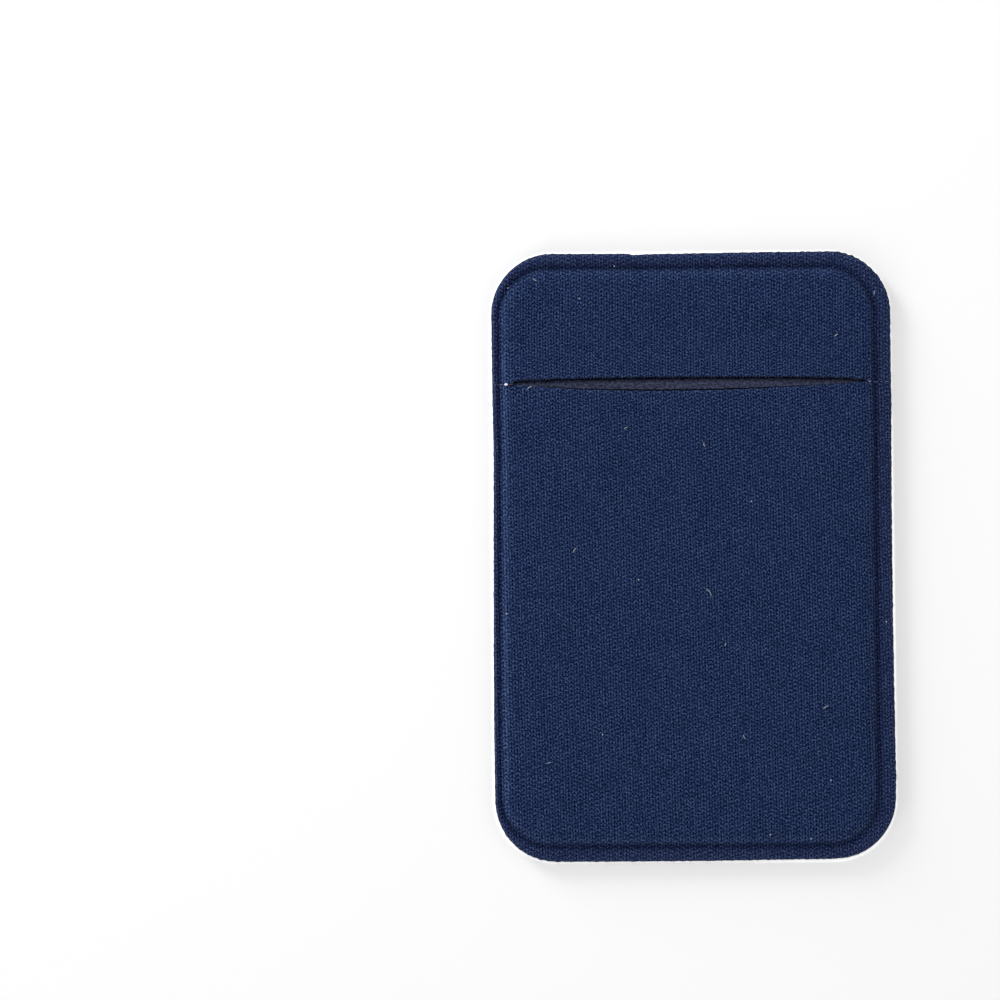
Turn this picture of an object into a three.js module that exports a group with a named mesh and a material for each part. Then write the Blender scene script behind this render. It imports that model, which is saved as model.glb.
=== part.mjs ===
import * as THREE from "three";

// A stick-on card holder for the back of a phone, lying on its peel-off paper. Millimetres, +Z up.
// X runs across the card, +Y towards the end with the slit, and Z comes up out of the knit face.
// The origin is on the table, under the middle of the paper.
// The front is two pieces of padded stretch knit that meet at a seam across the holder: a band above
// the slit and a pocket panel below it. A hot press joins both to the back panel round the rim, which
// leaves a thin rim, a sunk line, and a soft shoulder up to the panel that the card goes under.

// Trimmed outline of the fabric
const bodyWidth = 63;
const bodyLength = 96;
const cornerRadius = 9.6;

// Flat layers, from the table up
const linerThickness = 0.14;
const linerProud = 0.3; // how far the paper shows past the fabric
const adhesiveThickness = 0.16;
const adhesiveInset = 0.3; // how far the adhesive stays inside the fabric
const backThickness = 0.7;

// Pressed rim: its width on each side, from the trimmed edge to the bottom of the sunk line.
// The press sat a little to the left of the trimming die, so the left rim is the narrow one.
const rimLeft = 1;
const rimRight = 2.65;
const rimTop = 2.4;
const rimBottom = 2.45;
const lineCornerRadius = 7.6; // of the sunk line
const rimThickness = 0.8;
const lineThickness = 0.32; // of the knit left under the sunk line

// Section of the rim: how far in from the trimmed edge, as a share of the rim's width, and how high,
// as a share of the way up from the sunk line to the rim's full thickness
const rimSection = [
  { inwards: 0, height: 0.1 },
  { inwards: 0.16, height: 0.8 },
  { inwards: 0.4, height: 1 },
  { inwards: 0.72, height: 0.8 },
  { inwards: 1, height: 0 },
];

// Padded knit of the two front pieces, and the room for cards under them
const knitThickness = 0.9;
const shoulderWidth = 2.4; // from the sunk line to the panel's full height
const shoulderFullness = 1.8; // 1 is a straight slope, 2 is a quarter of an ellipse
const pocketHeight = 0.72; // at the shoulder
const crownHeight = 0.25; // how much higher the middle of the panel stands

// Seam and slit. The pressed seam holds the two pieces together at both ends of the slit.
const seamFromTop = 20.7;
const seamGap = 0.2;
const slitFromLeft = 3.3;
const slitFromRight = 4.15;

// Each lip of the slit: how far it draws back from the seam, where it draws back most (from -1 at the
// slit's left end to 1 at its right), how sharp the slit's two ends are, how far the lip lifts off the
// panel and over what distance, and the rounding of its cut edge
const bandLip = { draw: 0.75, peak: -0.1, leftEnd: 0.1, rightEnd: 0.18, lift: 0.3, liftReach: 5, rounding: 0.35 };
const panelLip = { draw: 0.98, peak: -0.1, leftEnd: 0.9, rightEnd: 1.1, lift: 0.05, liftReach: 4, rounding: 0.5 };

// Facets
const lipSteps = 3; // rows in the rounding of a lip
const bandRows = 4; // from the rounding of the lip to where the corners start
const panelRows = 9;
const rowSpread = 1.5; // 1 spaces those rows evenly, and more crowds them towards the lip
const cornerSteps = 7;
const shoulderSteps = 5;
const columnCount = 25;
const flatCornerSteps = 12; // round each corner of a flat layer

const navy = 0x22304e;
const greyNavy = 0x34384c;
const paperWhite = 0xf4f4f2;
const adhesiveWhite = 0xdedcd4;

const adhesiveFloor = linerThickness;
const backFloor = adhesiveFloor + adhesiveThickness;
const frontFloor = backFloor + backThickness;
const seamY = bodyLength / 2 - seamFromTop;
const quarterTurn = Math.PI / 2;

const { lerp, clamp } = THREE.MathUtils;

// A flat layer that reaches past the fabric by `proud`, or stays inside it where that is negative
function flatLayer(name, proud, floor, thickness, material) {
  const x = bodyWidth / 2 + proud;
  const y = bodyLength / 2 + proud;
  const r = cornerRadius + proud;
  const shape = new THREE.Shape();
  shape.absarc(x - r, y - r, r, 0, quarterTurn);
  shape.absarc(-x + r, y - r, r, quarterTurn, 2 * quarterTurn);
  shape.absarc(-x + r, -y + r, r, 2 * quarterTurn, 3 * quarterTurn);
  shape.absarc(x - r, -y + r, r, 3 * quarterTurn, 4 * quarterTurn);
  shape.closePath();
  const geometry = new THREE.ExtrudeGeometry(shape, {
    depth: thickness,
    bevelEnabled: false,
    curveSegments: flatCornerSteps,
  });
  const mesh = new THREE.Mesh(geometry, material);
  mesh.name = name;
  mesh.position.z = floor;
  return mesh;
}

// The outline of one front piece on its three outer sides. `side` is 1 for the band, whose far end is
// the holder's top, and -1 for the pocket panel, whose far end is the holder's bottom.
function trimmedOutline(side) {
  return {
    left: -bodyWidth / 2,
    right: bodyWidth / 2,
    far: (side * bodyLength) / 2,
    radius: cornerRadius,
  };
}

function sunkOutline(side) {
  return {
    left: -bodyWidth / 2 + rimLeft,
    right: bodyWidth / 2 - rimRight,
    far: side > 0 ? bodyLength / 2 - rimTop : -bodyLength / 2 + rimBottom,
    radius: lineCornerRadius,
  };
}

function between(a, b, share) {
  return {
    left: lerp(a.left, b.left, share),
    right: lerp(a.right, b.right, share),
    far: lerp(a.far, b.far, share),
    radius: lerp(a.radius, b.radius, share),
  };
}

function inset(outline, distance, side) {
  return {
    left: outline.left + distance,
    right: outline.right - distance,
    far: outline.far - side * distance,
    radius: outline.radius - distance,
  };
}

// The rings of a front piece from its trimmed edge to the top of its shoulder, each with its outline
// and the heights of its two faces
function pieceRings(side) {
  const sunk = sunkOutline(side);
  const rings = rimSection.map(({ inwards, height }) => ({
    outline: between(trimmedOutline(side), sunk, inwards),
    top: frontFloor + lerp(lineThickness, rimThickness, height),
    under: frontFloor,
  }));
  for (let step = 1; step <= shoulderSteps; step++) {
    const share = step / shoulderSteps;
    const rise = (1 - (1 - share) ** shoulderFullness) ** (1 / shoulderFullness);
    rings.push({
      outline: inset(sunk, shoulderWidth * share, side),
      top: frontFloor + lerp(lineThickness, pocketHeight + knitThickness, rise),
      under: frontFloor + pocketHeight * rise,
    });
  }
  return rings;
}

// The ends of every row of points on one ring: rows close together in the rounding of the lip, then
// wider and wider up to the corner, then round the corner
function rowEnds({ outline }, side, lip, rowCount) {
  const { left, right, far, radius } = outline;
  const straight = side * (far - seamY) - radius - seamGap / 2;
  const distances = [];
  for (let step = 0; step < lipSteps; step++) {
    distances.push(lip.rounding * (1 - Math.cos((step / lipSteps) * quarterTurn)));
  }
  for (let step = 0; step <= rowCount; step++) {
    distances.push(lerp(lip.rounding, straight, (step / rowCount) ** rowSpread));
  }
  const ends = distances.map((distance) => ({
    left,
    right,
    y: seamY + side * (seamGap / 2 + distance),
    distance,
    straight,
  }));
  for (let step = 1; step <= cornerSteps; step++) {
    const angle = (step / cornerSteps) * quarterTurn;
    const out = radius * (1 - Math.cos(angle));
    const y = far - side * radius * (1 - Math.sin(angle));
    ends.push({ left: left + out, right: right - out, y, distance: straight, straight });
  }
  return ends;
}

// 1 where a lip draws back most, and 0 from the slit's ends outwards
function slitShare(x, lip) {
  const start = -bodyWidth / 2 + slitFromLeft;
  const end = bodyWidth / 2 - slitFromRight;
  const along = (2 * (x - start)) / (end - start) - 1;
  const out = along < lip.peak ? (lip.peak - along) / (1 + lip.peak) : (along - lip.peak) / (1 - lip.peak);
  return (1 - clamp(out, 0, 1) ** 2) ** (along < lip.peak ? lip.leftEnd : lip.rightEnd);
}

// Gives a row's point its place: the lip draws it back from the seam, lifts it and rounds it off
function placed(x, end, top, under, side, lip) {
  const share = slitShare(x, lip);
  const fade = (1 - end.distance / end.straight) ** 2;
  const lift = lip.lift * share * Math.exp(-((end.distance / lip.liftReach) ** 2));
  const short = clamp(1 - end.distance / lip.rounding, 0, 1);
  const drop = Math.min(lip.rounding, (top - under) / 2) * (1 - Math.sqrt(1 - short * short));
  return {
    x,
    y: end.y + side * lip.draw * share * fade,
    top: top + lift - drop,
    under: under + lift,
  };
}

// How far a point of the panels stands above their shoulder
function crown(x, y) {
  const upper = inset(sunkOutline(1), shoulderWidth, 1);
  const lower = inset(sunkOutline(-1), shoulderWidth, -1);
  const across = (2 * x - upper.left - upper.right) / (upper.right - upper.left);
  const along = (2 * y - upper.far - lower.far) / (upper.far - lower.far);
  return crownHeight * (1 - across ** 4) * (1 - along ** 4);
}

// One piece of padded knit: a closed sheet whose top and underside have the same layout, of rings that
// run from the seam round the far end and back to the seam, and a field of rows and columns inside them
function frontPiece(name, side, lip, rowCount, material) {
  const rings = pieceRings(side);
  const points = [];

  function add(x, end, top, under) {
    points.push(placed(x, end, top, under, side, lip));
    return points.length - 1;
  }

  function acrossRow(end, column) {
    const share = (1 - Math.cos((column / (columnCount - 1)) * Math.PI)) / 2;
    return lerp(end.left, end.right, share);
  }

  const loops = rings.map((ring) => {
    const ends = rowEnds(ring, side, lip, rowCount);
    const farEnd = ends[ends.length - 1];
    const loop = ends.map((end) => add(end.left, end, ring.top, ring.under));
    for (let column = 1; column < columnCount - 1; column++) {
      loop.push(add(acrossRow(farEnd, column), farEnd, ring.top, ring.under));
    }
    for (const end of ends.toReversed()) loop.push(add(end.right, end, ring.top, ring.under));
    return loop;
  });

  const innermost = rings[rings.length - 1];
  const innerLoop = loops[loops.length - 1];
  const innerEnds = rowEnds(innermost, side, lip, rowCount);
  const farRow = innerEnds.length - 1;
  const field = innerEnds.map((end, row) => {
    const line = [innerLoop[row]];
    for (let column = 1; column < columnCount - 1; column++) {
      const x = acrossRow(end, column);
      const raised = crown(x, end.y);
      const inner = () => add(x, end, innermost.top + raised, innermost.under + raised);
      line.push(row < farRow ? inner() : innerLoop[farRow + column]);
    }
    line.push(innerLoop[innerLoop.length - 1 - row]);
    return line;
  });

  const triangles = [];
  const underside = points.length; // from a point of the top to the one below it
  function quad(a, b, c, d) {
    if (side > 0) triangles.push(a, b, c, a, c, d);
    else triangles.push(a, c, b, a, d, c);
  }
  function fill(lines) {
    for (let i = 0; i < lines.length - 1; i++) {
      for (let k = 0; k < lines[i].length - 1; k++) {
        const [a, b, c, d] = [lines[i][k], lines[i + 1][k], lines[i + 1][k + 1], lines[i][k + 1]];
        quad(a, b, c, d);
        quad(a + underside, d + underside, c + underside, b + underside);
      }
    }
  }
  function wall(edge) {
    for (let k = 0; k < edge.length - 1; k++) {
      quad(edge[k], edge[k + 1], edge[k + 1] + underside, edge[k] + underside);
    }
  }

  fill(loops);
  fill(field.map((line) => line.toReversed()));
  wall(loops[0]);
  const lipEdge = [...loops.map((loop) => loop[0]), ...field[0].slice(1, -1)];
  lipEdge.push(...loops.map((loop) => loop[loop.length - 1]).toReversed());
  wall(lipEdge.toReversed());

  const positions = [
    ...points.flatMap(({ x, y, top }) => [x, y, top]),
    ...points.flatMap(({ x, y, under }) => [x, y, under]),
  ];
  const geometry = new THREE.BufferGeometry();
  geometry.setAttribute("position", new THREE.Float32BufferAttribute(positions, 3));
  geometry.setIndex(triangles);
  geometry.computeVertexNormals();
  const mesh = new THREE.Mesh(geometry, material);
  mesh.name = name;
  return mesh;
}

const knit = new THREE.MeshStandardMaterial({ color: navy, roughness: 0.95, metalness: 0 });
const lining = new THREE.MeshStandardMaterial({ color: greyNavy, roughness: 1, metalness: 0 });
const paper = new THREE.MeshStandardMaterial({ color: paperWhite, roughness: 0.45, metalness: 0 });
const adhesive = new THREE.MeshStandardMaterial({ color: adhesiveWhite, roughness: 0.6, metalness: 0 });

const cardHolder = new THREE.Group();
cardHolder.add(
  flatLayer("release_liner", linerProud, 0, linerThickness, paper),
  flatLayer("adhesive_sheet", -adhesiveInset, adhesiveFloor, adhesiveThickness, adhesive),
  flatLayer("back_panel", 0, backFloor, backThickness, lining),
  frontPiece("upper_band", 1, bandLip, bandRows, knit),
  frontPiece("pocket_panel", -1, panelLip, panelRows, knit),
);

export default cardHolder;
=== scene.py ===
import math

import bpy
import numpy as np
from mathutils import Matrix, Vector, geometry


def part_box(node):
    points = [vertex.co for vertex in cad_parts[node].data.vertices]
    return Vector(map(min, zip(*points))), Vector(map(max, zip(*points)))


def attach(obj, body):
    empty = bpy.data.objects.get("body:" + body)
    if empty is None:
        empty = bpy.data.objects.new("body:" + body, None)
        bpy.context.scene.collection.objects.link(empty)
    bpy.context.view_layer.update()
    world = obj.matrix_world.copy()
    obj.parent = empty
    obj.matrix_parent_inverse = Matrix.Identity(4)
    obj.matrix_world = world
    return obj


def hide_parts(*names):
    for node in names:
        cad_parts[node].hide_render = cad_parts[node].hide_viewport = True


# A stick-on card holder in dark blue stretch knit, lying on its peel-off paper.
# Points are worked out in millimetres and turned to metres when they become a mesh.

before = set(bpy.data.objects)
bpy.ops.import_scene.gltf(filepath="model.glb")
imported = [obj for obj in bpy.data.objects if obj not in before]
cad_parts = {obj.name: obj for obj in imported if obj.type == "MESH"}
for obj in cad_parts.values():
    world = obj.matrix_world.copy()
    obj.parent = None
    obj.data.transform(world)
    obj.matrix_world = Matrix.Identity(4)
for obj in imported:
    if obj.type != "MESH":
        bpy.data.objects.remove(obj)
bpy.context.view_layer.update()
mm = 0.001
rng = np.random.default_rng(8)


def boxOf(node):
    low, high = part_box(node)
    return np.array(low) / mm, np.array(high) / mm


backLow, backHigh = boxOf("back_panel")
bandLow, bandHigh = boxOf("upper_band")
panelLow, panelHigh = boxOf("pocket_panel")

holder = {
    "halfWidth": backHigh[0],
    "halfLength": backHigh[1],
    "backFloor": backLow[2],
    "frontFloor": backHigh[2],
    "seam": (bandLow[1] + panelHigh[1]) / 2,
    "cornerRadius": 9.6,
    "seamGap": 0.06,
}

# How far the trimmed edge strays outwards at places along it, in mm
trimming = {
    "left": [(-46, 0), (-28, 0.15), (-15, 0.12), (0, 0.02), (16, -0.11), (28, 0.04), (36, 0.07), (45, 0.2)],
    "right": [(-46, -0.35), (-41, -0.05), (-35, 0.08), (-22, -0.03), (-10, -0.09), (3, -0.08), (14, -0.03),
        (25, 0.1), (34, 0.06), (45, 0.2)],
    "top": [(-29, 0.24), (-22, 0.11), (-14, 0.05), (-10.1, 0.04), (-9.4, -0.17), (-6, -0.06), (1, 0),
        (11, 0.1), (20, 0.11), (27, 0.24)],
    "bottom": [(-28, 0), (-24, -0.05), (-14, 0), (1, 0), (8, -0.06), (14, -0.13), (20, -0.17), (29, -0.34)],
}
strayReach = 7  # how far in from the edge the fabric follows it

rim = {
    "left": 1.05,  # from the trimmed edge to the bottom of the sunk line
    "right": 2.65,
    "top": 2.4,
    "bottom": 2.45,
    "turn": 0.15,  # degrees that the press stood askew, clockwise
    "lineRadius": 7.6,
    "thickness": 0.8,
    "lineThickness": 0.32,
}

padding = {
    "thickness": 0.9,
    "shoulder": 2.4,
    "fullness": 1.8,
    "pocket": 0.72,
    "crown": 0.25,
}

cloth = {
    "columns": 31,  # points across the sheet
    "scale": 10,  # the simulation runs on a larger copy
    "pressure": 4.0,
    "frames": 20,
    "quality": 6,
    "cap": 1.2,  # how far it may rise, in mm
    "reach": 12,
}

slit = {
    "fromLeft": 3.3,
    "fromRight": 4.15,
}

bandPiece = {
    "side": 1,  # the far end is the holder's top
    "draw": 1.01,  # how far the lip stands back from the seam
    "peak": -0.1,  # where it stands back most, from -1 to 1 along the slit
    "leftEnd": 0.2,  # how blunt the slit's ends are
    "rightEnd": 0.26,
    "lift": 0.3,
    "liftReach": 5,
    "rounding": 0.15,
    "bevel": 0.32,  # how far the foot of the cut edge stands out, where the lip curls up
    "waleLean": -0.5,  # degrees, to the left going up
    "courseSlope": 2.2,  # degrees, up to the right
}

panelPiece = {
    "side": -1,
    "draw": 1.2,
    "peak": -0.1,
    "leftEnd": 0.9,
    "rightEnd": 1.1,
    "lift": 0.05,
    "liftReach": 4,
    "rounding": 0.15,
    "bevel": 0.3,
    "waleLean": 1.07,
    "courseSlope": -2.5,
}

knit = {
    "wale": 0.88,  # width of one column of stitches
    "course": 0.65,  # height of one row
    "slant": 0.5,  # how far a stitch's legs climb from its middle to its side, in rows
    "relief": 0.08,  # height of the yarn over the ground
    "rimRelief": 0.5,  # share of it left where the press flattened the knit
    "wander": 0.04,  # how far the columns and rows stray from straight
    "ragged": 0.035,  # how far single yarns stand out of a cut edge
}

edgeForm = {
    "insets": [0, 0.05, 0.14, 0.28],  # rows of points that follow a piece's edge
    "cutStart": 0.06,  # where the cut edge starts, under the face
    "softness": 0.3,  # how far in from the edge it is ragged or bevelled
    "raggedLength": 0.9,
    "bevelShares": (0, 0.15, 1),  # of the face, of the start of the cut edge, and of its foot
}

stitchForm = {
    "leg": 0.37,
    "swell": 0.11,  # how much each row swells everywhere, and more in a column's middle
    "middleSwell": 0.27,
    "middleSink": 0.1,
    "ground": 0.43,
}

tones = {  # what makes a stitch lighter or darker than its height does: its own tone, and painted highlight and painted shade
    "stitch": 0.12,
    "fibres": 2.4,
    "clouds": 0.1,
    "paintedLightAndToneWeight": 0.2,
    "ground": -0.14,
    "trimmed": 0.6,
    # lip: a painted highlight along the slit's rounded lips
    "lip": 0.5,
    # pressed: darker along the sunk line, partly the knit pressed flat and partly painted shade in the
    # groove
    "pressed": -0.9,
    "stretched": 0.35,  # painted highlight on the shoulder, partly the stretched knit's paler look; the left and the bottom, where the light falls, have more
    "paintedHighlightLeft": 0.55,
    "paintedHighlightBottom": 0.25,
}


# The arithmetic of node trees, written as expressions

class Wire:
    # one socket of a node tree; sums on wires add Math nodes to that tree

    def __init__(self, tree, socket=None):
        self.tree = tree
        self.socket = socket

    def add(self, kind, settings, inputs, output=0):
        node = self.tree.nodes.new(kind)
        for name, value in settings.items():
            if name == "stops":
                ramp = node.color_ramp
                for place, colour in value[:-2]:
                    ramp.elements.new(place)
                for element, (place, colour) in zip(ramp.elements, value):
                    element.position = place
                    element.color = colour
            else:
                setattr(node, name, value)
        for name, value in inputs.items():
            if isinstance(value, Wire):
                self.tree.links.new(value.socket, node.inputs[name])
            else:
                node.inputs[name].default_value = value
        return Wire(self.tree, node.outputs[output])

    def output(self, name):
        return Wire(self.tree, self.socket.node.outputs[name])

    def sum(self, operation, *values):
        return self.add("ShaderNodeMath", {"operation": operation}, dict(enumerate(values)))

    def to(self, operation):
        return self.sum(operation, self)

    def __add__(self, other):
        return self.sum("ADD", self, other)

    def __radd__(self, other):
        return self.sum("ADD", other, self)

    def __sub__(self, other):
        return self.sum("SUBTRACT", self, other)

    def __rsub__(self, other):
        return self.sum("SUBTRACT", other, self)

    def __mul__(self, other):
        return self.sum("MULTIPLY", self, other)

    def __rmul__(self, other):
        return self.sum("MULTIPLY", other, self)

    def __pow__(self, other):
        return self.sum("POWER", self, other)

    def __mod__(self, other):
        return self.sum("FLOORED_MODULO", self, other)

    def limit(self, low=0.0, high=1.0):
        return self.add("ShaderNodeClamp", {}, {"Value": self, "Min": low, "Max": high})

    def mix(self, first, second):  # from one colour to another, by this wire
        settings = {"data_type": "RGBA", "blend_type": "MIX"}
        return self.add("ShaderNodeMix", settings, {0: self, 6: first, 7: second}, 2)


def srgb(red, green, blue, alpha=1.0):
    # a colour as a picture holds it, 0 to 255, made linear
    shares = [value / 255 for value in (red, green, blue)]
    linear = [s / 12.92 if s <= 0.04045 else ((s + 0.055) / 1.055) ** 2.4 for s in shares]
    return (*linear, alpha)


def shaderTree(name, finish):
    # a material with a Principled shader, whose even values are set on its own sockets
    material = bpy.data.materials.new(name)
    material.use_nodes = True
    tree = material.node_tree
    shader = tree.nodes["Principled BSDF"]
    for socket, value in finish.items():
        shader.inputs[socket].default_value = value
    return material, Wire(tree), shader


def plug(wire, shader, socket):
    wire.tree.links.new(wire.socket, shader.inputs[socket])


def geometryTree(name, inputs):
    tree = bpy.data.node_groups.new(name, "GeometryNodeTree")
    tree.interface.new_socket(name="Geometry", in_out="INPUT", socket_type="NodeSocketGeometry")
    for label, kind in inputs.items():
        tree.interface.new_socket(name=label, in_out="INPUT", socket_type="NodeSocket" + kind)
    tree.interface.new_socket(name="Geometry", in_out="OUTPUT", socket_type="NodeSocketGeometry")
    source = tree.nodes.new("NodeGroupInput")
    sockets = {socket.name: Wire(tree, socket) for socket in source.outputs if socket.name}
    return tree, sockets


def finishTree(tree, result, material):
    # every tree ends by making its instances real; without a material they keep the mesh's own
    made = result.add("GeometryNodeRealizeInstances", {}, {"Geometry": result})
    if material:
        made = made.add("GeometryNodeSetMaterial", {}, {"Geometry": made, "Material": material})
    target = tree.nodes.new("NodeGroupOutput")
    tree.links.new(made.socket, target.inputs["Geometry"])
    return tree


def grown(name, source, tree, values):
    # what a tree makes of a mesh, as a plain mesh of its own
    helper = bpy.data.objects.new(name + "_source", source)
    bpy.context.scene.collection.objects.link(helper)
    modifier = helper.modifiers.new("tree", "NODES")
    modifier.node_group = tree
    for item in tree.interface.items_tree:
        if item.in_out == "INPUT" and item.name in values:
            modifier[item.identifier] = values[item.name]
    graph = bpy.context.evaluated_depsgraph_get()
    evaluated = helper.evaluated_get(graph)
    mesh = bpy.data.meshes.new_from_object(evaluated, preserve_all_data_layers=True, depsgraph=graph)
    mesh.name = name
    bpy.data.objects.remove(helper)
    return mesh


def stitchHeight(u, v):
    # the face of the knit from its columns and rows: 1 on a leg of yarn, and 0 in the holes
    across = (u.to("FRACT") - 0.5).to("ABSOLUTE") * 2
    odd = u.to("FLOOR") % 2
    row = v + odd * 0.5 + across * knit["slant"]
    swell = 0 - (row * (2 * math.pi)).to("COSINE")
    leg = (across * math.pi).to("SINE")
    middle = (1 - across) ** 3
    swelling = swell * (middle * stitchForm["middleSwell"] + stitchForm["swell"])
    height = leg * stitchForm["leg"] + swelling - middle * stitchForm["middleSink"] + stitchForm["ground"]
    return height, row


# Shape of the two padded pieces

def between(a, b, share):
    return a + (b - a) * share


def fading(distance, reach):
    # 1 at no distance, and next to nothing past twice the reach
    return np.exp(-(distance / reach) ** 2)


def trimmedOutline():
    return {
        "left": -holder["halfWidth"],
        "right": holder["halfWidth"],
        "far": holder["halfLength"],
        "radius": holder["cornerRadius"],
        "turn": 0,
    }


def sunkOutline(side):
    return {
        "left": -holder["halfWidth"] + rim["left"],
        "right": holder["halfWidth"] - rim["right"],
        "far": holder["halfLength"] - (rim["top"] if side > 0 else rim["bottom"]),
        "radius": rim["lineRadius"],
        "turn": math.radians(rim["turn"]),
    }


def mixedOutline(side, share):
    a, b = trimmedOutline(), sunkOutline(side)
    return {key: between(a[key], b[key], share) for key in a}


def outside(x, y, side, outline):
    # distance from an outline that is open towards the seam, negative inside it
    x, y = x - y * np.sin(outline["turn"]), y + x * np.sin(outline["turn"])
    halfWidth = (outline["right"] - outline["left"]) / 2
    acrossX = np.abs(x - (outline["right"] + outline["left"]) / 2) - halfWidth + outline["radius"]
    acrossY = side * y - outline["far"] + outline["radius"]
    corner = np.hypot(np.maximum(acrossX, 0), np.maximum(acrossY, 0))
    return corner + np.minimum(np.maximum(acrossX, acrossY), 0) - outline["radius"]


def rimShare(x, y, side):
    # 0 on the trimmed edge and 1 on the sunk line, found by halving
    low, high = np.zeros_like(x), np.ones_like(x)
    for _ in range(16):
        middle = (low + high) / 2
        isOut = outside(x, y, side, mixedOutline(side, middle)) > 0
        high = np.where(isOut, middle, high)
        low = np.where(isOut, low, middle)
    return (low + high) / 2


def rimProfile(share):
    # height of the pressed rim over the sunk line: it rounds off at the edge and dips into the line
    return (1 - 0.9 * (1 - share) ** 6) * (1 - share ** 5)


def faces(x, y, side):
    # heights of the two faces of a padded piece
    sunk = outside(x, y, side, sunkOutline(side))
    pressed = between(rim["lineThickness"], rim["thickness"], rimProfile(rimShare(x, y, side)))
    climb = np.clip(-sunk / padding["shoulder"], 0, 1)
    rise = (1 - (1 - climb) ** padding["fullness"]) ** (1 / padding["fullness"])
    full = padding["pocket"] + padding["thickness"]
    raised = crown(x, y, side)
    top = np.where(sunk < 0, between(rim["lineThickness"], full, rise), pressed) + raised
    under = np.where(sunk < 0, padding["pocket"] * rise, 0) + raised
    return holder["frontFloor"] + top, holder["frontFloor"] + under


def crown(x, y, side):
    # how far the stuffed knit stands above the shoulder, read from the simulated cloth
    xs, ys, heights = cloths[side]
    column = np.clip((x - xs[0]) / (xs[1] - xs[0]), 0, len(xs) - 1.001)
    row = np.clip((y - ys[0]) / (ys[1] - ys[0]), 0, len(ys) - 1.001)
    i, j = column.astype(int), row.astype(int)
    low = between(heights[j, i], heights[j, i + 1], column - i)
    high = between(heights[j + 1, i], heights[j + 1, i + 1], column - i)
    return padding["crown"] * between(low, high, row - j)


def simulatedCloth(side):
    # a sheet pinned along the pressed line, blown up from below; heights are shares of its highest point
    sunk = sunkOutline(side)
    near, far = sorted((holder["seam"], side * sunk["far"]))
    xs = np.linspace(sunk["left"], sunk["right"], cloth["columns"])
    ys = np.linspace(near, far, round((far - near) / (xs[1] - xs[0])) + 1)
    x, y = [axis.ravel() for axis in np.meshgrid(xs, ys)]
    inwards = -outside(x, y, side, sunk)
    width, unit = len(xs), mm * cloth["scale"]
    quads = [(k, k + 1, k + 1 + width, k + width) for k in range(len(x) - width) if (k + 1) % width]
    data = bpy.data.meshes.new("cloth")
    data.from_pydata(np.stack([x, y, 0 * x], axis=1) * unit, [], quads)
    sheet = bpy.data.objects.new("cloth", data)
    bpy.context.scene.collection.objects.link(sheet)
    isFree = (np.abs(y - holder["seam"]) < 0.1) & (slitShare(x, bandPiece) > 0)
    pinned = np.flatnonzero((inwards < padding["shoulder"]) & ~isFree)
    pins = sheet.vertex_groups.new(name="pins")
    pins.add(pinned.tolist(), 1, "REPLACE")
    modifier = sheet.modifiers.new("cloth", "CLOTH")
    modifier.settings.vertex_group_mass = "pins"
    modifier.settings.use_pressure = True
    modifier.settings.uniform_pressure_force = cloth["pressure"]
    modifier.settings.effector_weights.gravity = 0
    modifier.settings.quality = cloth["quality"]
    for number in range(1, cloth["frames"] + 1):
        bpy.context.scene.frame_set(number)
    swollen = sheet.evaluated_get(bpy.context.evaluated_depsgraph_get()).to_mesh()
    heights = np.array([vertex.co.z for vertex in swollen.vertices]) / unit
    bpy.data.objects.remove(sheet)
    bpy.context.scene.frame_set(1)
    print("cloth", side, "rose", round(float(heights.max()), 2), "mm, before its cap")
    heights = np.clip(heights, 0, cloth["cap"])
    return xs, ys, (heights / max(heights.max(), 1e-6)).reshape(len(ys), len(xs))


def ripple(x, y, length, seed):
    # smooth unevenness over the plan, mostly between -1 and 1, in waves about `length` mm long
    chance = np.random.default_rng(seed)
    total = np.zeros_like(x)
    for turn in chance.uniform(0, 2 * math.pi, 8):
        swing = 2 * math.pi / (length * chance.uniform(0.7, 1.5))
        total += np.sin(swing * (x * math.cos(turn) + y * math.sin(turn)) + chance.uniform(0, 6))
    return total / 3


def strayed(x, y):
    # the plan as the trimming left it, a little off a true rounded rectangle
    def out(name, place, inwards):
        places, amounts = zip(*trimming[name])
        return np.interp(place, places, amounts) * np.clip(1 - inwards / strayReach, 0, 1) ** 2

    right = out("right", y, holder["halfWidth"] - x) - out("left", y, holder["halfWidth"] + x)
    up = out("top", x, holder["halfLength"] - y) - out("bottom", x, holder["halfLength"] + y)
    return x + right, y + up


def slitEnds():
    return -holder["halfWidth"] + slit["fromLeft"], holder["halfWidth"] - slit["fromRight"]


def slitShare(x, piece):
    # how far the slit stands open along its length: 1 where it is widest, and 0 past its ends
    start, end = slitEnds()
    along = (2 * (x - start)) / (end - start) - 1
    isLeft = along < piece["peak"]
    out = np.where(isLeft, piece["peak"] - along, along - piece["peak"])
    out = np.clip(out / np.where(isLeft, 1 + piece["peak"], 1 - piece["peak"]), 0, 1)
    return (1 - out ** 2) ** np.where(isLeft, piece["leftEnd"], piece["rightEnd"])


def placed(x, y, piece, top, under):
    # the lip draws the knit back from the seam, lifts it and rounds off its cut edge
    side = piece["side"]
    distance = np.maximum(side * (y - holder["seam"]) - holder["seamGap"] / 2, 0)
    straight = side * (side * sunkOutline(side)["far"] - holder["seam"]) - rim["lineRadius"]
    share = slitShare(x, piece)
    fade = np.clip(1 - distance / straight, 0, 1) ** 2
    lift = piece["lift"] * share * fading(distance, piece["liftReach"])
    short = np.clip(1 - distance / piece["rounding"], 0, 1)
    drop = np.minimum(piece["rounding"], (top - under) / 2) * (1 - np.sqrt(1 - short ** 2))
    x, y = strayed(x, y + side * piece["draw"] * share * fade)
    return x, y, top + lift - drop, under + lift


def corner(x, y, radius, start):
    turns = np.linspace(start, start + math.pi / 2, 13)
    return [(x + radius * math.cos(turn), y + radius * math.sin(turn)) for turn in turns]


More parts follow.
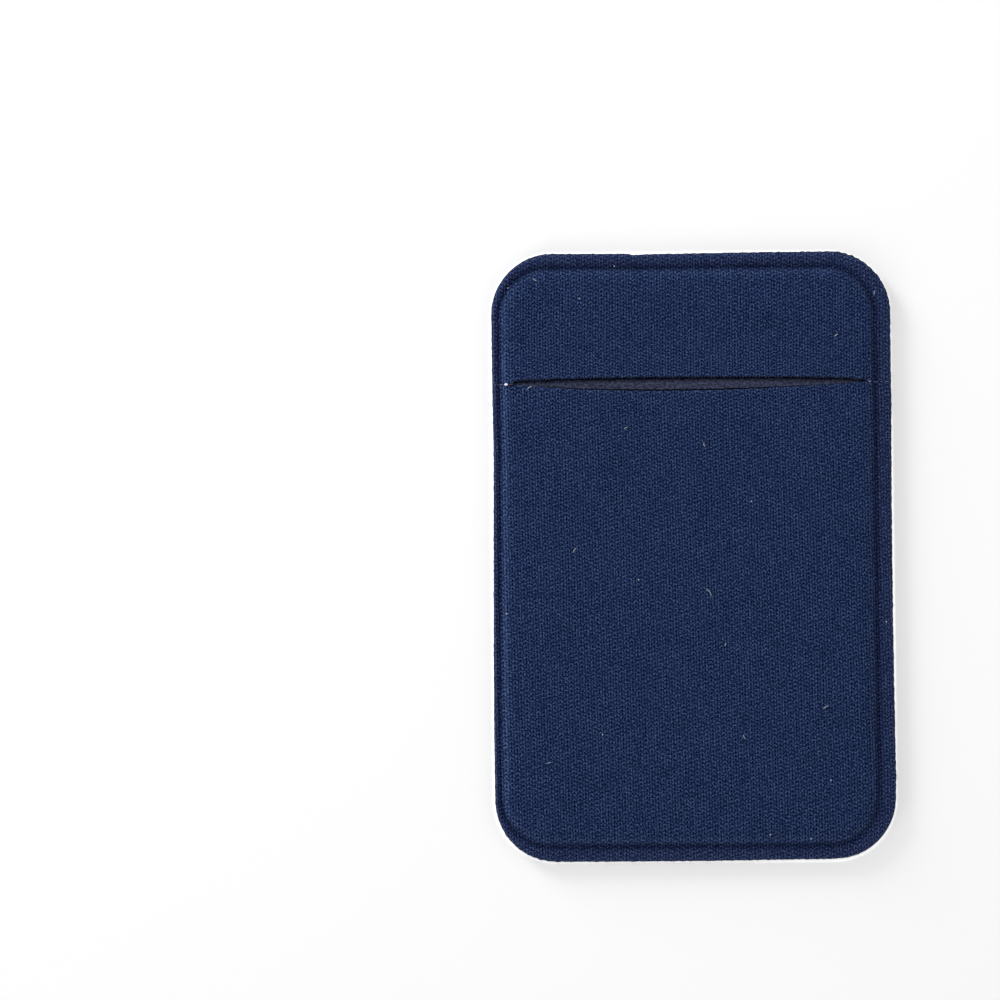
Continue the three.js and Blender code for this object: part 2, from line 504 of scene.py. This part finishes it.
def evenly(stretches, spacing):
    # points along a closed path, in which each stretch keeps its own ends
    path = np.array([point for stretch in stretches for point in stretch] + [stretches[0][0]])
    lengths = np.hypot(*np.diff(path, axis=0).T)
    travelled = np.concatenate([[0], np.cumsum(lengths)])
    marks = []
    for start, length in zip(travelled[:-1], lengths):
        count = max(1, round(length / spacing))
        marks.extend(start + length * np.arange(count) / count if length > 1e-6 else [])
    return np.stack([np.interp(marks, travelled, path[:, axis]) for axis in (0, 1)], axis=1)


def pieceLoop(side, inset, spacing):
    # the edge of a padded piece seen from above, counter-clockwise for the band
    outline = trimmedOutline()
    left, right = outline["left"] + inset, outline["right"] - inset
    far, radius = outline["far"] - inset, outline["radius"] - inset
    near = side * holder["seam"] + holder["seamGap"] / 2 + inset
    return evenly([
        [(left, near), (right, near)],
        corner(right - radius, far - radius, radius, 0),
        corner(left + radius, far - radius, radius, math.pi / 2),
    ], spacing) * (1, side)


def wholeLoop(inset, spacing):
    # the trimmed edge all round, counter-clockwise from above
    radius = holder["cornerRadius"] - inset
    x, y = holder["halfWidth"] - inset - radius, holder["halfLength"] - inset - radius
    places = [(x, y), (-x, y), (-x, -y), (x, -y)]
    return evenly([corner(*place, radius, k * math.pi / 2) for k, place in enumerate(places)], spacing)


def stitchAxes(piece):
    # where one column and one row of stitches lead, in mm
    column = knit["wale"] * np.array([1, math.tan(math.radians(piece["courseSlope"]))])
    row = knit["course"] * np.array([-math.tan(math.radians(piece["waleLean"])), 1])
    return np.stack([column, row])


def stitchPoints(piece):
    # four points across a column and two up a row, on the legs, holes and borders of the stitches
    reach = holder["halfLength"] * 2.4
    columns = np.arange(-int(4 * reach / knit["wale"] / 2), int(4 * reach / knit["wale"] / 2))
    rows = np.arange(-int(2 * reach / knit["course"]), int(2 * reach / knit["course"]))
    i, j = np.meshgrid(columns, rows)
    places = np.stack([i.ravel() / 4, (j.ravel() + 0.5 * (i.ravel() % 2)) / 2], axis=1)
    return places @ stitchAxes(piece)


def grid(xs, ys):
    return np.stack(np.meshgrid(xs, ys), -1).reshape(-1, 2)


def triangulated(loops, inner):
    # triangles between the points of nested loops and the points inside them, seen from above
    points = np.concatenate([*loops, inner])
    edges = []
    start = 0
    for loop in loops:
        edges += [(start + k, start + (k + 1) % len(loop)) for k in range(len(loop))]
        start += len(loop)
    found = geometry.delaunay_2d_cdt([Vector(p) for p in points], edges, [], 1, 1e-6)
    triangles = np.array(found[2])
    places = np.array([tuple(v) for v in found[0]])
    corners = places[triangles]
    turn = np.cross(corners[:, 1] - corners[:, 0], corners[:, 2] - corners[:, 0])
    triangles[turn < 0] = triangles[turn < 0][:, ::-1]
    return places, triangles


def meshFrom(name, points, polygons):
    mesh = bpy.data.meshes.new(name)
    corners = [list(map(int, polygon)) for polygon in polygons]
    mesh.from_pydata((np.asarray(points) * mm).tolist(), [], corners)
    mesh.update()
    mesh.shade_smooth()
    return mesh


def newPiece(name, mesh):
    piece = bpy.data.objects.new(name, mesh)
    bpy.context.scene.collection.objects.link(piece)
    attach(piece, "root")
    return piece


def wandered(x, y):
    # where the stitches are, once the columns and rows stray a little
    return np.stack([
        x + knit["wander"] * ripple(x, y, 14, 3),
        y + knit["wander"] * ripple(x, y, 11, 4),
    ], axis=-1)


def vectorLayer(mesh, name, values):
    layer = mesh.attributes.new(name, "FLOAT_VECTOR", "POINT")
    layer.data.foreach_set("vector", np.asarray(values, np.float32).ravel())


def paddedMesh(name, piece):
    side = piece["side"]
    spacing = knit["wale"] / 4
    insets = edgeForm["insets"]
    loops = [pieceLoop(side, inset, spacing) for inset in insets]

    def depth(places):  # distances in from the trimmed edge and from the seam's edge
        x, y = places.T
        fromSeam = side * (y - holder["seam"]) - holder["seamGap"] / 2
        return -outside(x, y, side, trimmedOutline()), fromSeam

    def within(places, clear):
        fromTrim, fromSeam = depth(places)
        return places[(fromTrim > clear) & (fromSeam > clear)]

    lattice = wandered(*stitchPoints(piece).T)
    flat, topFaces = triangulated(loops, within(lattice, insets[-1] + spacing / 2))
    coarse = grid(np.arange(-32, 32, 1.2), np.arange(-48, 48, 1.2))
    flatUnder, underFaces = triangulated(loops[:1], within(coarse, 0.6))

    def shaped(places, level):
        # level 0 is the top face, 1 the line where the cut edge starts, and 2 the under face
        x, y = places.T
        top, under = faces(x, y, side)
        fromTrim, fromSeam = depth(places)
        edge = fading(np.minimum(fromTrim, fromSeam), edgeForm["softness"])
        uneven = knit["ragged"] * edge * ripple(x, y, edgeForm["raggedLength"], 5)
        bevel = piece["bevel"] * slitShare(x, piece) * fading(fromSeam, edgeForm["softness"])
        bevel *= edgeForm["bevelShares"][level]
        x, y, top, under = placed(x, y, piece, top, under)
        z = (top, top - edgeForm["cutStart"], under)[level]
        return np.stack([x + uneven, y + uneven - side * bevel, z], axis=1)

    points = np.concatenate([shaped(flat, 0), shaped(loops[0], 1), shaped(flatUnder, 2)])
    topCount, ringCount = len(flat), len(loops[0])
    underStart = topCount + ringCount
    walls = []
    for k in range(ringCount):
        after = (k + 1) % ringCount
        for low, high in ((underStart, topCount), (topCount, 0)):
            wall = (low + k, low + after, high + after, high + k)
            walls.append(wall if side > 0 else wall[::-1])
    mesh = meshFrom(name, points, [*topFaces, *(underFaces[:, ::-1] + underStart), *walls])
    mesh.materials.append(navyKnit)
    mesh.materials.append(cutEdgeAndShade)
    isWall = np.arange(len(mesh.polygons)) >= len(topFaces) + len(underFaces)
    mesh.polygons.foreach_set("material_index", isWall.astype(np.int32))

    plan = np.concatenate([flat, loops[0], flatUnder])
    x, y = plan.T
    isCut = np.arange(len(plan)) >= topCount
    fromTrim, fromSeam = depth(plan)
    sunk = outside(x, y, side, sunkOutline(side))
    stitches = (2 * plan - wandered(x, y)) @ np.linalg.inv(stitchAxes(piece))
    relief = between(knit["rimRelief"], 1, np.clip(-sunk / 0.8, 0, 1))
    relief *= np.clip(np.minimum(fromTrim, fromSeam) / 0.1, 0, 1) * ~isCut
    vectorLayer(mesh, "stitches", np.column_stack([stitches, relief]))
    # darker along the sunk line: partly the knit pressed flat, partly painted shade in the groove
    pressed = np.where(sunk > 0, fading(sunk, 0.55), fading(sunk, 0.45))
    # a painted highlight along the lips of the slit, where their rounded edges catch the light
    lip = fading(fromSeam, 0.4) * slitShare(x, piece) ** 0.5
    # painted highlight on the shoulder, partly the stretched knit's paler look, stronger on the left and the
    # bottom
    onLeft, onBottom = np.clip((-29 - x) / 0.5, 0, 1), np.clip((-44 - y) / 0.5, 0, 1)
    stretched = tones["stretched"] + tones["paintedHighlightLeft"] * onLeft + tones["paintedHighlightBottom"] * onBottom
    stretched *= fading(sunk + 0.85, 0.5)
    tone = tones["trimmed"] * fading(fromTrim, 0.6) + stretched + tones["lip"] * lip
    tone += tones["pressed"] * pressed
    # painted shade: a near-black line along the top of the trimmed edge
    edgeShade = fading(fromTrim, 0.05)
    # the finish attribute holds the tone with its painted highlight and shade, the share of the rim, and
    # where the near-black of the cut edge and its painted shade goes
    vectorLayer(mesh, "finish", np.column_stack([tone, np.clip(sunk / 0.5, 0, 1), np.maximum(isCut, edgeShade)]))
    return mesh


def liningMesh(name):
    # the back's lining: one flat layer with softened edges
    spacing = 0.6
    levels = [  # inset and height, from the top face to the under face
        (0.12, holder["frontFloor"]),
        (0, holder["frontFloor"] - 0.1),
        (0, holder["backFloor"] + 0.1),
        (0.12, holder["backFloor"]),
    ]
    loops = [wholeLoop(inset, spacing) for inset, _ in levels]
    places = grid(np.arange(-31, 31.1, 1), np.arange(-47.5, 48, 1))
    x, y = places.T
    fromTrim = -np.maximum(*[outside(x, y, side, trimmedOutline()) for side in (1, -1)])
    flat, topFaces = triangulated(loops[:1], places[fromTrim > 0.7])
    count, ringCount = len(flat), len(loops[0])

    def shaped(places, height):
        x, y = strayed(*places.T)
        return np.stack([x, y, np.full(len(x), height)], axis=1)

    points = [shaped(flat, levels[0][1])]
    points += [shaped(loop, height) for loop, (_, height) in zip(loops[1:3], levels[1:3])]
    points.append(shaped(flat, levels[3][1]))
    starts = [0, count, count + ringCount, count + 2 * ringCount]
    walls = []
    for high, low in zip(starts[:-1], starts[1:]):
        for k in range(ringCount):
            after = (k + 1) % ringCount
            walls.append((low + k, low + after, high + after, high + k))
    return meshFrom(name, np.concatenate(points), [*topFaces, *(topFaces[:, ::-1] + starts[-1]), *walls])


# Finishes

def knitMaterial():
    colours = {
        "hole": srgb(0, 0, 8),
        "shade": srgb(1, 11, 40),
        "ground": srgb(13, 30, 66),
        "yarn": srgb(32, 49, 87),
        "highlight": srgb(70, 88, 126),
        "rimTint": srgb(46, 38, 60),
        "cut": srgb(3, 4, 10),
    }
    finish = {"Roughness": 0.95, "Specular IOR Level": 0.06, "Sheen Weight": 0.06, "Sheen Roughness": 0.5}
    material, wire, shader = shaderTree("navyKnit", finish)
    place = wire.add("ShaderNodeAttribute", {"attribute_name": "stitches"}, {}, "Vector")
    parts = wire.add("ShaderNodeSeparateXYZ", {}, {"Vector": place})
    u, v = parts.output("X"), parts.output("Y")
    height, row = stitchHeight(u, v)
    paintedLightAndTone = wire.add("ShaderNodeAttribute", {"attribute_name": "finish"}, {}, "Vector")
    paintedLightAndToneParts = wire.add("ShaderNodeSeparateXYZ", {}, {"Vector": paintedLightAndTone})
    tone, onRim, cut = paintedLightAndToneParts.output("X"), paintedLightAndToneParts.output("Y"), paintedLightAndToneParts.output("Z")
    cell = wire.add("ShaderNodeCombineXYZ", {}, {
        "X": (u * 2).to("FLOOR"),
        "Y": row.to("FLOOR"),
    })
    chance = wire.add("ShaderNodeTexWhiteNoise", {"noise_dimensions": "2D"}, {"Vector": cell}, "Value")
    flat = wire.add("ShaderNodeCombineXYZ", {}, {"X": u, "Y": v})

    def grain(scale, detail):
        inputs = {"Vector": flat, "Scale": scale, "Detail": detail, "Roughness": 0.9}
        return wire.add("ShaderNodeTexNoise", {"noise_dimensions": "2D"}, inputs, "Fac") - 0.5

    fibres, clouds = grain(3.0, 2.0), grain(0.12, 2.0)
    lit = height + (chance - 0.5) * tones["stitch"] + fibres * tones["fibres"]
    lit += clouds * tones["clouds"] + tone * tones["paintedLightAndToneWeight"] + tones["ground"]
    # by the stitch's height, the ramp darkens the holes, partly the dark ground between the yarns and partly
    # painted shade, and gives the yarn's tops a painted highlight
    yarn = wire.add("ShaderNodeValToRGB", {"stops": [
        (0.0, colours["hole"]),
        (0.2, colours["shade"]),
        (0.45, colours["ground"]),
        (0.7, colours["yarn"]),
        (1.0, colours["highlight"]),
    ]}, {"Fac": lit.limit()}, "Color")
    tinted = (onRim * 0.12).mix(yarn, colours["rimTint"])
    # the cut edge and the top of the trimmed edge go near-black: partly the padding's own colour, partly
    # painted shade
    plug(cut.limit().mix(tinted, colours["cut"]), shader, "Base Color")
    bump = wire.add("ShaderNodeBump", {}, {
        "Height": height + fibres,
        "Distance": knit["relief"] * mm * 0.6,
        "Strength": 0.7,
    }, "Normal")
    plug(bump, shader, "Normal")
    return material


def plainMaterial(name, colour, roughness, paintedGlow):
    # paintedGlow is painted light: the part glows, so that the paper's proud edge stays bright beside the
    # fabric's shadow
    finish = {"Roughness": roughness, "Emission Color": colour, "Emission Strength": paintedGlow}
    material, wire, shader = shaderTree(name, finish)
    place = wire.add("ShaderNodeTexCoord", {}, {}, "Object")
    grain = wire.add("ShaderNodeTexNoise", {}, {"Vector": place, "Scale": 900.0, "Detail": 3.0}, "Fac")
    darker = tuple(share * 0.92 for share in colour[:3]) + (1,)
    plug(grain.mix(darker, colour), shader, "Base Color")
    return material


def liningMaterial():
    material, wire, shader = shaderTree("brushedLining", {"Roughness": 1.0, "Specular IOR Level": 0.1})
    place = wire.add("ShaderNodeTexCoord", {}, {}, "Object")
    stretched = wire.add("ShaderNodeMapping", {}, {"Vector": place, "Scale": (2200.0, 3600.0, 2200.0)})
    grain = wire.add("ShaderNodeTexNoise", {}, {"Vector": stretched, "Scale": 1.0, "Detail": 3.0}, "Fac")
    colour = wire.add("ShaderNodeValToRGB", {"stops": [
        (0.3, srgb(34, 38, 54)),
        (0.5, srgb(64, 70, 95)),
        (0.75, srgb(96, 102, 131)),
    ]}, {"Fac": grain}, "Color")
    plug(colour, shader, "Base Color")
    bump = wire.add("ShaderNodeBump", {}, {"Height": grain, "Distance": 0.1 * mm, "Strength": 0.6}, "Normal")
    plug(bump, shader, "Normal")
    return material


def cutMaterial():
    # the cut edge of the padding, which takes no sheen; its near-black is partly the padding's own colour
    # and partly painted shade, standing in for the shade under the band's lip
    material, wire, shader = shaderTree("cutEdgeAndShade", {"Roughness": 1.0, "Specular IOR Level": 0.0})
    place = wire.add("ShaderNodeTexCoord", {}, {}, "Object")
    grain = wire.add("ShaderNodeTexNoise", {}, {"Vector": place, "Scale": 3000.0, "Detail": 2.0}, "Fac")
    plug(grain.mix(srgb(4, 6, 16), srgb(16, 22, 42)), shader, "Base Color")
    return material


navyKnit = knitMaterial()
cutEdgeAndShade = cutMaterial()
brushedLining = liningMaterial()
print("materials made")

# The two padded pieces

cloths = {side: simulatedCloth(side) for side in (1, -1)}

reliefTree, nodes = geometryTree("stitchRelief", {"Relief": "Float"})
place = nodes["Geometry"].add("GeometryNodeInputNamedAttribute", {"data_type": "FLOAT_VECTOR"}, {
    "Name": "stitches",
}, "Attribute")
parts = place.add("ShaderNodeSeparateXYZ", {}, {"Vector": place})
height, _ = stitchHeight(parts.output("X"), parts.output("Y"))
normal = place.add("GeometryNodeInputNormal", {}, {})
lift = height * parts.output("Z") * nodes["Relief"]
offset = place.add("ShaderNodeVectorMath", {"operation": "SCALE"}, {0: normal, "Scale": lift})
moved = place.add("GeometryNodeSetPosition", {}, {"Geometry": nodes["Geometry"], "Offset": offset})
finishTree(reliefTree, moved, None)

for name, node, piece in (
    ("knit_band", "upper_band", bandPiece),
    ("knit_panel", "pocket_panel", panelPiece),
):
    flatMesh = paddedMesh(name + "_ground", piece)
    mesh = grown(name, flatMesh, reliefTree, {"Relief": knit["relief"] * mm})
    padded = newPiece(name, mesh)
    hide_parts(node)
    print(name, len(mesh.polygons), "faces")

# The back's lining, seen through the slit

liningData = liningMesh("lining")
liningData.materials.append(brushedLining)
lining = newPiece("lining", liningData)
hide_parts("back_panel")
2 * holder["halfWidth"] * mm
2 * holder["halfLength"] * mm
print("lining", len(liningData.polygons), "faces")

# Loops of yarn that stand out of the band's lip

lipLoop = {
    "spacing": 0.5,
    "reach": 0.17,
    "width": 0.28,
    "yarn": 0.07,  # radius
}


def lipPath(piece):
    # the top edge of a lip, from one end of the slit to the other
    x = np.linspace(*slitEnds(), 160)[2:-2]
    y = np.full_like(x, holder["seam"] + piece["side"] * holder["seamGap"] / 2)
    top, under = faces(x, y, piece["side"])
    x, y, top, _ = placed(x, y, piece, top, under)
    return np.stack([x, y, top], axis=1)


loopTree, nodes = geometryTree("lipLoops", {"Seed": "Int"})
path = nodes["Geometry"].add("GeometryNodeMeshToCurve", {}, {"Mesh": nodes["Geometry"]})
even = path.add("GeometryNodeResampleCurve", {"mode": "LENGTH"}, {
    "Curve": path,
    "Length": lipLoop["spacing"] * mm,
})
spots = even.add("GeometryNodeCurveToPoints", {"mode": "EVALUATED"}, {"Curve": even})
arc = path.add("GeometryNodeCurveQuadraticBezier", {}, {
    "Resolution": 6,
    "Start": (-lipLoop["width"] / 2 * mm, 0, -0.05 * mm),
    "Middle": (0, -2 * lipLoop["reach"] * mm, 0.06 * mm),
    "End": (lipLoop["width"] / 2 * mm, 0, -0.05 * mm),
})
section = path.add("GeometryNodeCurvePrimitiveCircle", {"mode": "RADIUS"}, {
    "Resolution": 6,
    "Radius": lipLoop["yarn"] * mm,
})
loop = path.add("GeometryNodeCurveToMesh", {}, {"Curve": arc, "Profile Curve": section, "Fill Caps": True})
tilt = path.add("FunctionNodeRandomValue", {"data_type": "FLOAT_VECTOR"}, {
    0: (-0.5, -0.4, -0.5),
    1: (0.3, 0.4, 0.5),
    8: nodes["Seed"],
})
size = path.add("FunctionNodeRandomValue", {"data_type": "FLOAT"}, {2: 0.7, 3: 1.25, 8: nodes["Seed"]}, 1)
loops = path.add("GeometryNodeInstanceOnPoints", {}, {
    "Points": spots,
    "Instance": loop,
    "Rotation": tilt,
    "Scale": size,
})
yarnFluff = plainMaterial("lipYarn", srgb(30, 44, 80), 0.95, 0)
finishTree(loopTree, loops, yarnFluff)

lipLine = bpy.data.meshes.new("lip_path")
places = lipPath(bandPiece)
lipLine.from_pydata((places * mm).tolist(), [(k, k + 1) for k in range(len(places) - 1)], [])
lipYarn = newPiece("lip_loops", grown("lip_loops", lipLine, loopTree, {"Seed": 1}))
print("lip_loops", len(lipYarn.data.polygons), "faces")


# Stray fibres, the melted ends of the seam, and its pale thread

def surface(x, y):
    side = 1 if y > holder["seam"] else -1
    top, _ = faces(np.array([x], float), np.array([y], float), side)
    return top[0] + knit["relief"]


def strand(points, radius, sides=6):
    # a closed tube through the points, thinner at its ends
    points = np.array(points, float)
    count = len(points)
    forward = np.gradient(points, axis=0)
    forward /= np.linalg.norm(forward, axis=1, keepdims=True)
    across = np.cross(forward, (0, 0, 1))
    across /= np.linalg.norm(across, axis=1, keepdims=True)
    up = np.cross(across, forward)
    taper = radius * (0.35 + 0.65 * np.sin(np.pi * np.linspace(0.05, 0.95, count)))
    turns = np.arange(sides) * 2 * math.pi / sides
    rings = points[:, None] + taper[:, None, None] * (
        np.cos(turns)[None, :, None] * across[:, None] + np.sin(turns)[None, :, None] * up[:, None]
    )
    quads = [
        (k * sides + j, (k + 1) * sides + j, (k + 1) * sides + (j + 1) % sides, k * sides + (j + 1) % sides)
        for k in range(count - 1) for j in range(sides)
    ]
    caps = [tuple(range(sides)), tuple(range(count * sides - 1, (count - 1) * sides - 1, -1))]
    return rings.reshape(-1, 3), quads + caps


def strandsMesh(name, strands, material):
    points, faceList = [], []
    start = 0
    for ring, quads in strands:
        points.append(ring)
        faceList += [tuple(start + k for k in face) for face in quads]
        start += len(ring)
    mesh = meshFrom(name, np.concatenate(points), faceList)
    mesh.materials.append(material)
    return mesh


def curl(x, y, turn, length, bend=0.25, lift=0.12):
    # a short fibre that lies on the knit, bowed sideways and up
    shares = np.linspace(-0.5, 0.5, 9)
    turn = math.radians(turn)
    bow = bend * length * (0.25 - shares ** 2) * 2
    px = x + shares * length * math.cos(turn) - bow * math.sin(turn)
    py = y + shares * length * math.sin(turn) + bow * math.cos(turn)
    pz = surface(x, y) + lift * (0.25 - shares ** 2) * 2
    return np.stack([px, py, pz], axis=1)


# Where each fibre lies, its direction in degrees, and its length
lint = [
    (29.1, 41.4, 80, 0.7), (-10.5, 20.2, 20, 0.6), (1.9, 17.5, 100, 0.8), (22.9, 34.6, 35, 0.7),
    (-18.7, 1.0, 60, 0.9), (2.3, -5.8, -55, 1.5), (-23.0, -32.4, 15, 0.7), (7.7, -28.5, 120, 0.8),
    (20.5, -24.0, 35, 0.9), (4.9, -14.0, 70, 0.6), (-25.6, 26.7, 35, 1.0), (-24.6, 43.9, 150, 0.8),
]
specks = [
    (-17.6, 40.8), (-28.9, 42.7), (9.2, 8.5), (-8.7, -3.7), (-14.6, -28.0), (21.2, -35.4), (11.6, -43.9),
    (30.3, -10.6), (-29.5, -8.9), (18.0, -44.6), (-12.0, 46.0),
]
fibreForm = {
    "lintRadius": 0.045,
    "speckRadius": 0.09,
    "speckLength": 0.22,
    "brokenRadius": 0.02,
    "brokenLengths": (0.3, 0.7),
    "brokenCount": 260,  # tries, less those that fall on the slit
    "clearOfSeam": 2,
}

pale = [strand(curl(x, y, turn, length), fibreForm["lintRadius"]) for x, y, turn, length in lint]
pale += [
    strand(curl(x, y, 40, fibreForm["speckLength"], 0.1, 0.05), fibreForm["speckRadius"])
    for x, y in specks
]
broken = []
for _ in range(fibreForm["brokenCount"]):
    x, y = rng.uniform(-29, 28), rng.uniform(-45, 45)
    if abs(y - holder["seam"]) > fibreForm["clearOfSeam"]:
        path = curl(x, y, rng.uniform(0, 360), rng.uniform(*fibreForm["brokenLengths"]))
        broken.append(strand(path, fibreForm["brokenRadius"], 4))
paleFibre = plainMaterial("paleFibre", srgb(188, 184, 190), 0.8, 0)
newPiece("lint", strandsMesh("lint", pale, paleFibre))
brokenYarn = plainMaterial("brokenYarn", srgb(84, 100, 140), 0.9, 0)
newPiece("broken_fibres", strandsMesh("broken_fibres", broken, brokenYarn))

seamEnds = {
    "beads": [(-29.3, 0.26, 0.2, srgb(246, 244, 250)), (28.1, 0.2, 0.15, srgb(110, 116, 146))],
    "dashes": [(-31.3, -30.9), (-30.7, -29.7), (28.7, 29.5), (29.8, 30.1), (30.6, 31.2)],
    "thread": (-28.95, -28.2),
}


def alongSeam(start, end, height):
    x = np.linspace(start, end, 7)
    z = [surface(place, holder["seam"] - 0.01) + height for place in x]
    return np.stack([x, np.full(7, holder["seam"] + 0.02), z], axis=1)


for number, (x, length, radius, colour) in enumerate(seamEnds["beads"]):
    name = "seam_bead_" + ("left", "right")[number]
    blob = strand(alongSeam(x - length, x + length, 0.04), radius, 8)
    melted = plainMaterial(name, colour, 0.4, 0)
    newPiece(name, strandsMesh(name, [blob], melted))
seamDashes = [strand(alongSeam(start, end, 0.0), 0.06) for start, end in seamEnds["dashes"]]
paleThread = plainMaterial("paleThread", srgb(92, 102, 150), 0.8, 0)
newPiece("seam_thread", strandsMesh("seam_thread", seamDashes, paleThread))
redThread = plainMaterial("redThread", srgb(92, 58, 62), 0.8, 0)
strayEnd = [strand(alongSeam(*seamEnds["thread"], 0.03), 0.05)]
newPiece("seam_stray_end", strandsMesh("seam_stray_end", strayEnd, redThread))
print("fibres laid")

# The paper and the adhesive keep their CAD shapes

for node, material in (
    ("adhesive_sheet", plainMaterial("adhesiveFilm", srgb(222, 220, 212), 0.6, 0)),
    # the release paper glows: painted light that keeps its edge bright in the shade
    ("release_liner", plainMaterial("releasePaper", srgb(252, 252, 252), 0.45, 0.45)),
):
    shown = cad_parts[node]
    shown.data.materials.clear()
    shown.data.materials.append(material)

# Studio: pale floor, soft light from the top left

studio = {
    "floorSize": 1.6,
    "floorColour": srgb(252, 252, 252),
    "ambient": 0.42,
}

lamps = {
    "softKey": {"azimuth": 115, "elevation": 76, "distance": 0.9, "size": 0.32, "share": 0.42},
    "lowFill": {"azimuth": 135, "elevation": 14, "distance": 1.3, "size": 0.5, "share": 0.15},
    "lowBack": {"azimuth": 225, "elevation": 17, "distance": 1.3, "size": 0.5, "share": 0.05},
}

floorHalf = studio["floorSize"] / 2
floorMesh = bpy.data.meshes.new("floor")
floorMesh.from_pydata([(x, y, 0) for x, y in (
    (-floorHalf, -floorHalf),
    (floorHalf, -floorHalf),
    (floorHalf, floorHalf),
    (-floorHalf, floorHalf),
)], [], [(0, 1, 2, 3)])
floorMesh.materials.append(shaderTree("paleFloor", {
    "Base Color": studio["floorColour"],
    "Roughness": 0.9,
    "Specular IOR Level": 0.1,
})[0])
floor = bpy.data.objects.new("floor", floorMesh)
bpy.context.scene.collection.objects.link(floor)

world = bpy.data.worlds.new("studioWorld")
world.use_nodes = True
sky = world.node_tree.nodes["Background"]
sky.inputs["Color"].default_value = (1, 1, 1, 1)
wire = Wire(world.node_tree)
isCamera = wire.add("ShaderNodeLightPath", {}, {}, "Is Camera Ray")
strength = isCamera * (1 - studio["ambient"]) + studio["ambient"]
world.node_tree.links.new(strength.socket, sky.inputs["Strength"])
bpy.context.scene.world = world

for name, lamp in lamps.items():
    azimuth, elevation = math.radians(lamp["azimuth"]), math.radians(lamp["elevation"])
    away = Vector((
        math.cos(azimuth) * math.cos(elevation),
        math.sin(azimuth) * math.cos(elevation),
        math.sin(elevation),
    ))
    light = bpy.data.lights.new(name, "AREA")
    light.shape = "DISK"
    light.size = lamp["size"]
    light.energy = lamp["share"] * (math.pi * lamp["distance"]) ** 2 / math.sin(elevation)
    fixture = bpy.data.objects.new(name, light)
    fixture.location = away * lamp["distance"]
    fixture.rotation_euler = (-away).to_track_quat("-Z", "Y").to_euler()
    bpy.context.scene.collection.objects.link(fixture)

# Camera: almost straight down, from a hand's height, with the holder to the right of the middle

view = {
    "place": (-25.676, -10.688, 499.66),
    "turn": (2.2708, 0.5652, -0.4636),
    "lens": 113.54,
    "sensor": 36.0,
}

cameraData = bpy.data.cameras.new("camera")
cameraData.sensor_width = view["sensor"]
cameraData.lens = view["lens"]
camera = bpy.data.objects.new("camera", cameraData)
camera.location = [value * mm for value in view["place"]]
camera.rotation_euler = [math.radians(value) for value in view["turn"]]
bpy.context.scene.collection.objects.link(camera)
bpy.context.scene.camera = camera
bpy.context.scene.view_settings.view_transform = "Standard"
print("studio set")
